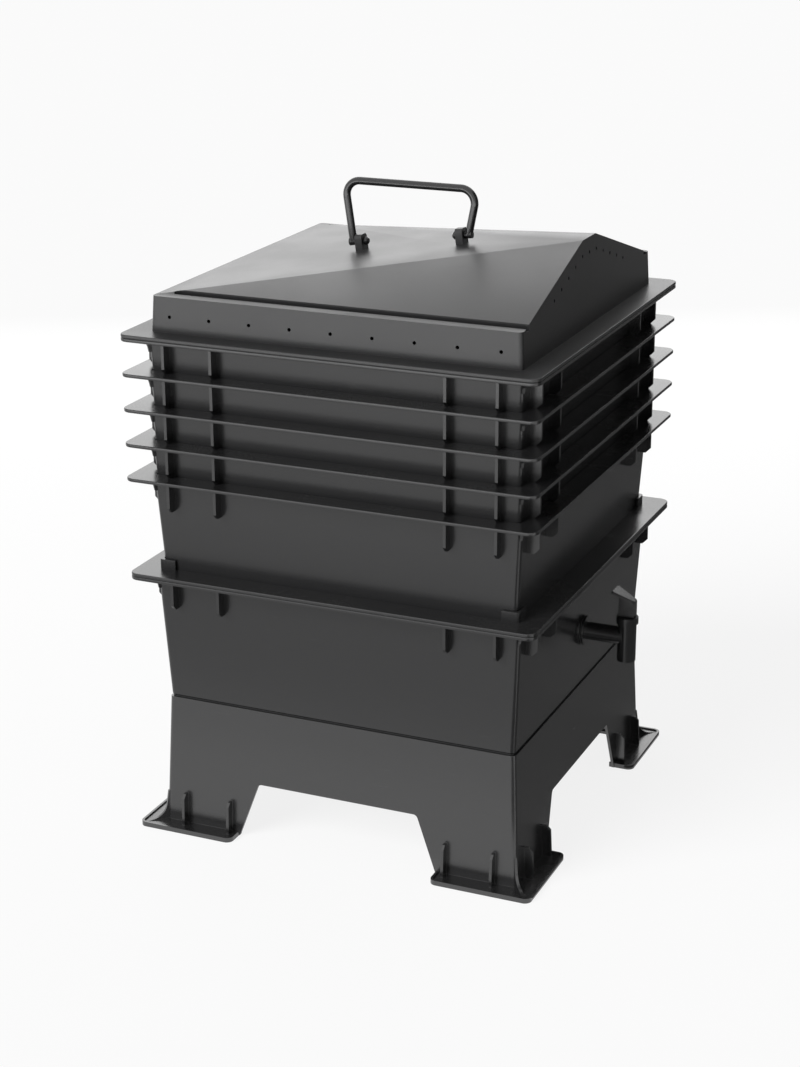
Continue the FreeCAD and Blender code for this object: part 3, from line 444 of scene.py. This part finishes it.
def only_mirrored(card, shade):
    """Glowing staging that camera and shadows miss; only glossy faces show it, as a painted reflection."""
    card.visible_camera = False
    card.visible_diffuse = False
    card.visible_shadow = False
    card.visible_transmission = False
    # the card glows with the given strength, so what the glossy faces show of it is a painted reflection
    mirrored_glow = bpy.data.materials.new(f"{card.name}_velvet")
    glow_sheet = blank(mirrored_glow)
    dim = glow_sheet.node("ShaderNodeEmission", inputs={"Color": PURE_WHITE, "Strength": shade})
    glow_sheet.node("ShaderNodeOutputMaterial", inputs={"Surface": dim})
    card.data.materials.append(mirrored_glow)


# a dimly glowing flag on the right, a painted dark reflection in the right faces, which stands on the
# floor with a foot towards the stack
FLAG_LENGTH = 1.9
FLAG_HEIGHT = 1.0
FLAG_FOOT = 0.16
FLAG_CORNER = Vector((0.36, 0.75, 0.002))
FLAG_SHADE = 0.133
foot_middle = FLAG_CORNER - Vector((FLAG_FOOT / 2, 0, 0))
bpy.ops.mesh.primitive_plane_add(size=1, location=foot_middle)
flag = bpy.context.object
flag.name = "dark_reflection_flag"
bpy.ops.transform.resize(value=(FLAG_FOOT, FLAG_LENGTH, 1))
bpy.ops.object.transform_apply(location=True, rotation=False, scale=True)
pick_edges(flag, lambda start, end: min(start.x, end.x) > foot_middle.x)
bpy.ops.mesh.extrude_region_move(TRANSFORM_OT_translate={"value": (0, 0, FLAG_HEIGHT)})
bpy.ops.object.mode_set(mode="OBJECT")
only_mirrored(flag, FLAG_SHADE)


def add_card(name, place, turn, length, depth, shade):
    """A flat card at a place and a turn, which lightens or darkens what the faces towards it mirror."""
    bpy.ops.mesh.primitive_plane_add(size=1, location=place, rotation=turn)
    card = bpy.context.object
    card.name = name
    card.scale = (length, depth, 1)
    bpy.ops.object.transform_apply(location=False, rotation=False, scale=True)
    only_mirrored(card, shade)


# three cards on the floor before the front, and a light and a dark one off the near corner
SQUARE_ON = (0, 0, 0)
LIGHT_TURN = (0, 0, radians(-20))
SHADE_TURN = (0, 0, radians(-58))
add_card("near_card", (-0.2, -0.33, 0.002), SQUARE_ON, length=2.4, depth=0.22, shade=0.82)
add_card("middle_card", (-0.4, -0.63, 0.002), SQUARE_ON, length=3.0, depth=0.38, shade=0.66)
add_card("far_card", (-1.4, -4.4, 0.002), SQUARE_ON, length=8, depth=5, shade=3.4)
add_card("corner_light", (1.06, -0.49, 0.001), LIGHT_TURN, length=1.5, depth=0.22, shade=2.6)
add_card("corner_shade", (0.74, -1.02, 0.004), SHADE_TURN, length=1.7, depth=0.3, shade=0.1)

# a bright bank above and behind, which the roof mirrors
BANK_PLACE = Vector((-0.8, 1.3, 2.1))
BANK_AIM = Vector((0, 0, 0.55))
add_card("high_bank", BANK_PLACE, facing(BANK_PLACE, BANK_AIM), length=3.0, depth=1.7, shade=1.15)

CAMERA_PLACE = Vector((0.8342, -1.9467, 1.0208))
CAMERA_TURN = radians(23.505)
CAMERA_DIP = radians(19.416)
CAMERA_ROLL = radians(-0.22)
CAMERA_LENS = 74.32
SENSOR_HEIGHT = 36
bpy.ops.object.camera_add()
camera = bpy.context.object
camera.name = "photo_camera"
camera.matrix_world = (
    Matrix.Translation(CAMERA_PLACE)
    @ Matrix.Rotation(CAMERA_TURN, 4, "Z")
    @ Matrix.Rotation(pi / 2 - CAMERA_DIP, 4, "X")
    @ Matrix.Rotation(CAMERA_ROLL, 4, "Z")
)
camera.data.sensor_fit = "VERTICAL"
camera.data.sensor_height = SENSOR_HEIGHT
camera.data.lens = CAMERA_LENS
bpy.context.scene.camera = camera
bpy.context.scene.view_settings.view_transform = "Standard"
